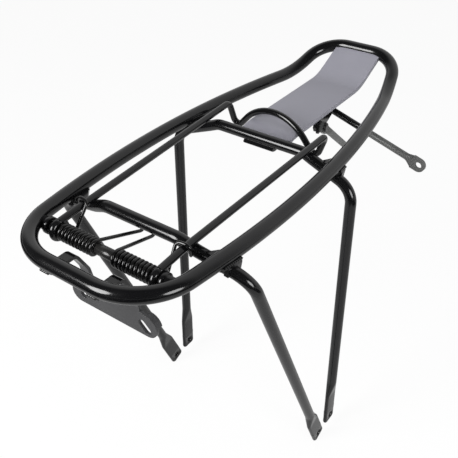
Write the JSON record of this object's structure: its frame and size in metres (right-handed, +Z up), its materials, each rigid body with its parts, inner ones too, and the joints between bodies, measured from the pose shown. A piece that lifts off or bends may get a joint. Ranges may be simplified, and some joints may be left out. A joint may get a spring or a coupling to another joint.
{
  "type": "bicycle rear rack",
  "caption": "Low bicycle rear rack for a folding bicycle: gloss-black bent tube frame, sprung wire clip, grey deck plate, light bracket and folding front stays.",
  "frame": {"origin": "Midway between the two front feet, on the axis of their bolt holes.", "axes": "+Z up to the platform, +Y forward along the bicycle, +X to the rider's right."},
  "size_m": [0.1753, 0.3487, 0.2811],
  "materials": {
    "black_paint": "gloss black coating on steel tube",
    "dull_black_paint": "satin black coating on steel sheet",
    "grey_black_paint": "satin dark grey coating on steel rod",
    "grey_paint": "satin grey coating on steel sheet",
    "black_steel": "blackened steel",
    "spring_steel": "blackened spring steel wire"
  },
  "bodies": {
    "frame": {"loop_tube": "black_paint", "front_hoop": "black_paint", "rear_hoop": "black_paint", "front_right_saddle": "black_paint", "front_left_saddle": "black_paint", "rear_right_saddle": "black_paint", "rear_left_saddle": "black_paint", "right_axle_ear": "black_paint", "left_axle_ear": "black_paint", "deck_hook": "black_paint", "clip_axle": "black_steel", "axle_sleeve": "black_steel", "deck_plate": "grey_paint", "light_bracket": "dull_black_paint", "stay_bracket": "black_paint", "right_swivel_rivet": "black_steel", "left_swivel_rivet": "black_steel", "right_spring": "spring_steel", "left_spring": "spring_steel"},
    "clip": {"clip_bail": "black_paint"},
    "right_lug": {"right_swivel_lug": "black_paint", "right_stay_bolt": "black_steel", "right_stay_nut": "black_steel"},
    "right_stay_rod": {"right_stay": "grey_black_paint"},
    "left_lug": {"left_swivel_lug": "black_paint", "left_stay_bolt": "black_steel", "left_stay_nut": "black_steel"},
    "left_stay_rod": {"left_stay": "grey_black_paint"}
  },
  "joints": [
    {"name": "clip_hinge", "type": "hinge", "parent": "frame", "child": "clip", "pos_m": [0, -0.1573, 0.2442], "axis": [1, 0, 0], "range_deg": [0, 95], "stiffness_Nm_per_rad": 1.5, "springref_deg": -51.57, "deforming": ["right_spring", "left_spring"]},
    {"name": "right_stay_swivel", "type": "hinge", "parent": "frame", "child": "right_lug", "pos_m": [0.011, 0.0635, 0.24464], "axis": [0, 0, -1], "range_deg": [0, 45]},
    {"name": "right_stay_tilt", "type": "hinge", "parent": "right_lug", "child": "right_stay_rod", "pos_m": [0.02045, 0.05682, 0.23744], "axis": [-0.989, -0.1478, 0], "range_deg": [-2, 40]},
    {"name": "left_stay_swivel", "type": "hinge", "parent": "frame", "child": "left_lug", "pos_m": [-0.011, 0.09, 0.24464], "axis": [0, 0, 1], "range_deg": [0, 94]},
    {"name": "left_stay_tilt", "type": "hinge", "parent": "left_lug", "child": "left_stay_rod", "pos_m": [-0.0184, 0.0989, 0.23744], "axis": [-0.0698, -0.9976, 0], "range_deg": [0, 10]}
  ]
}
